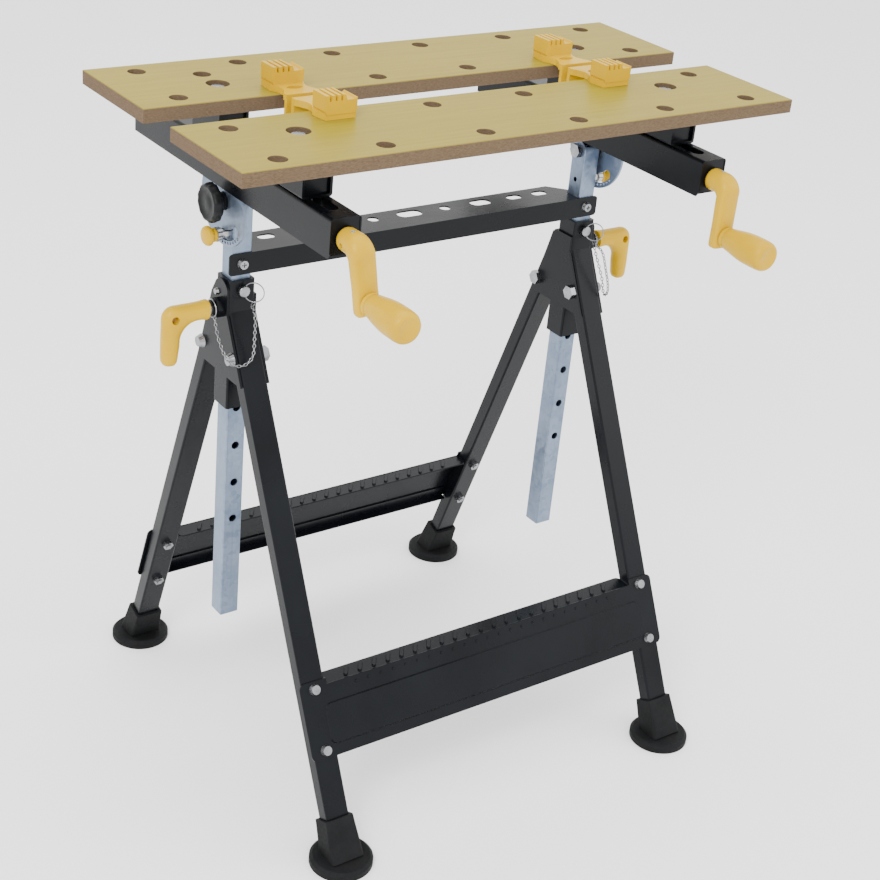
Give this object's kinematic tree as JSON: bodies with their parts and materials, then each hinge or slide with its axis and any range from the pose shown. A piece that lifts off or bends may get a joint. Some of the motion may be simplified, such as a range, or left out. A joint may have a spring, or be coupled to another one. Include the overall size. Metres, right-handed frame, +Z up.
{
  "type": "folding clamping workbench",
  "caption": "Folding workbench with splayed leg frames, a height-adjustable tilting head, two vice boards closed by hand cranks, and lift-out bench dogs.",
  "frame": {"origin": "on the floor at the centre of the bounding box", "axes": "+X along the boards, to the right of a user at the cranks; +Y away from that user; +Z up"},
  "size_m": [0.605, 0.4964, 0.7082],
  "materials": {
    "black_paint": "satin",
    "galvanised": "satin",
    "bright_zinc": "polished",
    "steel": "satin",
    "board": "satin",
    "yellow_plastic": "satin",
    "black_plastic": "satin",
    "rubber": "matte"
  },
  "bodies": {
    "stand": {"sleeve_left": "black_paint", "sleeve_right": "black_paint", "gusset_plates": "black_paint", "clamp_bosses": "black_paint", "leg_pivot_bolts": "bright_zinc", "stop_bolts": "bright_zinc", "chain_left": "bright_zinc", "chain_right": "bright_zinc"},
    "front_frame": {"front_leg_left": "black_paint", "front_leg_right": "black_paint", "front_step_panel": "black_paint", "front_feet": "rubber", "front_panel_bolts": "bright_zinc"},
    "rear_frame": {"rear_leg_left": "black_paint", "rear_leg_right": "black_paint", "rear_step_panel": "black_paint", "rear_feet": "rubber", "rear_panel_bolts": "bright_zinc"},
    "posts": {"post_left": "galvanised", "post_right": "galvanised", "cross_brace": "black_paint", "brace_screws": "bright_zinc", "tilt_pivot_bolts": "bright_zinc", "friction_washers": "black_plastic", "plunger_bushings": "steel"},
    "head": {"rail_left": "black_paint", "rail_right": "black_paint", "rail_end_plates": "black_paint", "quadrant_plates": "galvanised", "rear_board": "board", "rear_jaw_blocks": "black_paint", "rear_board_bolts": "bright_zinc"},
    "jaw": {"front_board": "board", "front_jaw_blocks": "black_paint", "jaw_nuts": "steel", "front_board_bolts": "bright_zinc"},
    "left_screw": {"lead_screw_left": "steel", "crank_left": "yellow_plastic", "crank_pins_left": "steel"},
    "left_grip": {"crank_grip_left": "yellow_plastic"},
    "left_tilt_knob": {"tilt_knob_left": "black_plastic"},
    "left_plunger": {"tilt_plunger_left": "yellow_plastic"},
    "left_clamp": {"clamp_screw_left": "steel", "clamp_handle_left": "yellow_plastic"},
    "left_pin": {"lock_pin_left": "bright_zinc", "pin_ring_left": "bright_zinc"},
    "front_left_dog": {"front_dog_left": "yellow_plastic"},
    "rear_left_dog": {"rear_dog_left": "yellow_plastic"},
    "right_screw": {"lead_screw_right": "steel", "crank_right": "yellow_plastic", "crank_pins_right": "steel"},
    "right_grip": {"crank_grip_right": "yellow_plastic"},
    "right_tilt_knob": {"tilt_knob_right": "black_plastic"},
    "right_plunger": {"tilt_plunger_right": "yellow_plastic"},
    "right_clamp": {"clamp_screw_right": "steel", "clamp_handle_right": "yellow_plastic"},
    "right_pin": {"lock_pin_right": "bright_zinc", "pin_ring_right": "bright_zinc"},
    "front_right_dog": {"front_dog_right": "yellow_plastic"},
    "rear_right_dog": {"rear_dog_right": "yellow_plastic"}
  },
  "joints": [
    {"name": "front_fold", "type": "hinge", "parent": "stand", "child": "front_frame", "pos_m": [0, 0.0015, 0.443], "axis": [1, 0, 0], "range_deg": [0, 25]},
    {"name": "rear_fold", "type": "hinge", "parent": "stand", "child": "rear_frame", "pos_m": [0, 0.06, 0.438], "axis": [-1, 0, 0], "range_deg": [0, 19]},
    {"name": "height_slide", "type": "slide", "parent": "stand", "child": "posts", "axis": [0, 0, 1], "range_m": [0, 0.246]},
    {"name": "head_tilt", "type": "hinge", "parent": "posts", "child": "head", "pos_m": [0, 0.026, 0.591], "axis": [1, 0, 0], "range_deg": [0, 45]},
    {"name": "jaw_slide", "type": "slide", "parent": "head", "child": "jaw", "axis": [0, 1, 0], "range_m": [-0.016, 0.007]},
    {"name": "crank_turn_left", "type": "hinge", "parent": "head", "child": "left_screw", "pos_m": [-0.206, -0.15, 0.62], "axis": [0, 1, 0], "continuous": true},
    {"name": "grip_spin_left", "type": "hinge", "parent": "left_screw", "child": "left_grip", "pos_m": [-0.19749, -0.2, 0.57174], "axis": [0, 1, 0], "continuous": true},
    {"name": "tilt_knob_turn_left", "type": "hinge", "parent": "posts", "child": "left_tilt_knob", "pos_m": [-0.24, 0.026, 0.591], "axis": [-1, 0, 0], "continuous": true},
    {"name": "plunger_pull_left", "type": "slide", "parent": "posts", "child": "left_plunger", "axis": [-1, 0, 0], "range_m": [0, 0.006], "stiffness_N_per_m": 400, "springref_m": -0.01},
    {"name": "clamp_turn_left", "type": "hinge", "parent": "stand", "child": "left_clamp", "pos_m": [-0.24, 0.026, 0.487], "axis": [-1, 0, 0], "range_deg": [0, 360]},
    {"name": "pin_pull_left", "type": "slide", "parent": "stand", "child": "left_pin", "axis": [0, -1, 0], "range_m": [0, 0.045]},
    {"name": "front_dog_lift_left", "type": "slide", "parent": "jaw", "child": "front_left_dog", "axis": [0, 0, 1], "range_m": [0, 0.03]},
    {"name": "rear_dog_lift_left", "type": "slide", "parent": "head", "child": "rear_left_dog", "axis": [0, 0, 1], "range_m": [0, 0.03]},
    {"name": "crank_turn_right", "type": "hinge", "parent": "head", "child": "right_screw", "pos_m": [0.206, -0.15, 0.62], "axis": [0, 1, 0], "continuous": true},
    {"name": "grip_spin_right", "type": "hinge", "parent": "right_screw", "child": "right_grip", "pos_m": [0.206, -0.2, 0.571], "axis": [0, 1, 0], "continuous": true},
    {"name": "tilt_knob_turn_right", "type": "hinge", "parent": "posts", "child": "right_tilt_knob", "pos_m": [0.24, 0.026, 0.591], "axis": [1, 0, 0], "continuous": true},
    {"name": "plunger_pull_right", "type": "slide", "parent": "posts", "child": "right_plunger", "axis": [1, 0, 0], "range_m": [0, 0.006], "stiffness_N_per_m": 400, "springref_m": -0.01},
    {"name": "clamp_turn_right", "type": "hinge", "parent": "stand", "child": "right_clamp", "pos_m": [0.24, 0.026, 0.487], "axis": [1, 0, 0], "range_deg": [0, 360]},
    {"name": "pin_pull_right", "type": "slide", "parent": "stand", "child": "right_pin", "axis": [0, -1, 0], "range_m": [0, 0.045]},
    {"name": "front_dog_lift_right", "type": "slide", "parent": "jaw", "child": "front_right_dog", "axis": [0, 0, 1], "range_m": [0, 0.03]},
    {"name": "rear_dog_lift_right", "type": "slide", "parent": "head", "child": "rear_right_dog", "axis": [0, 0, 1], "range_m": [0, 0.03]}
  ],
  "couplings": [
    {"joint": "crank_turn_left", "follows": "jaw_slide", "rad_per_m": 1570.8},
    {"joint": "crank_turn_right", "follows": "jaw_slide", "rad_per_m": 1570.8}
  ]
}
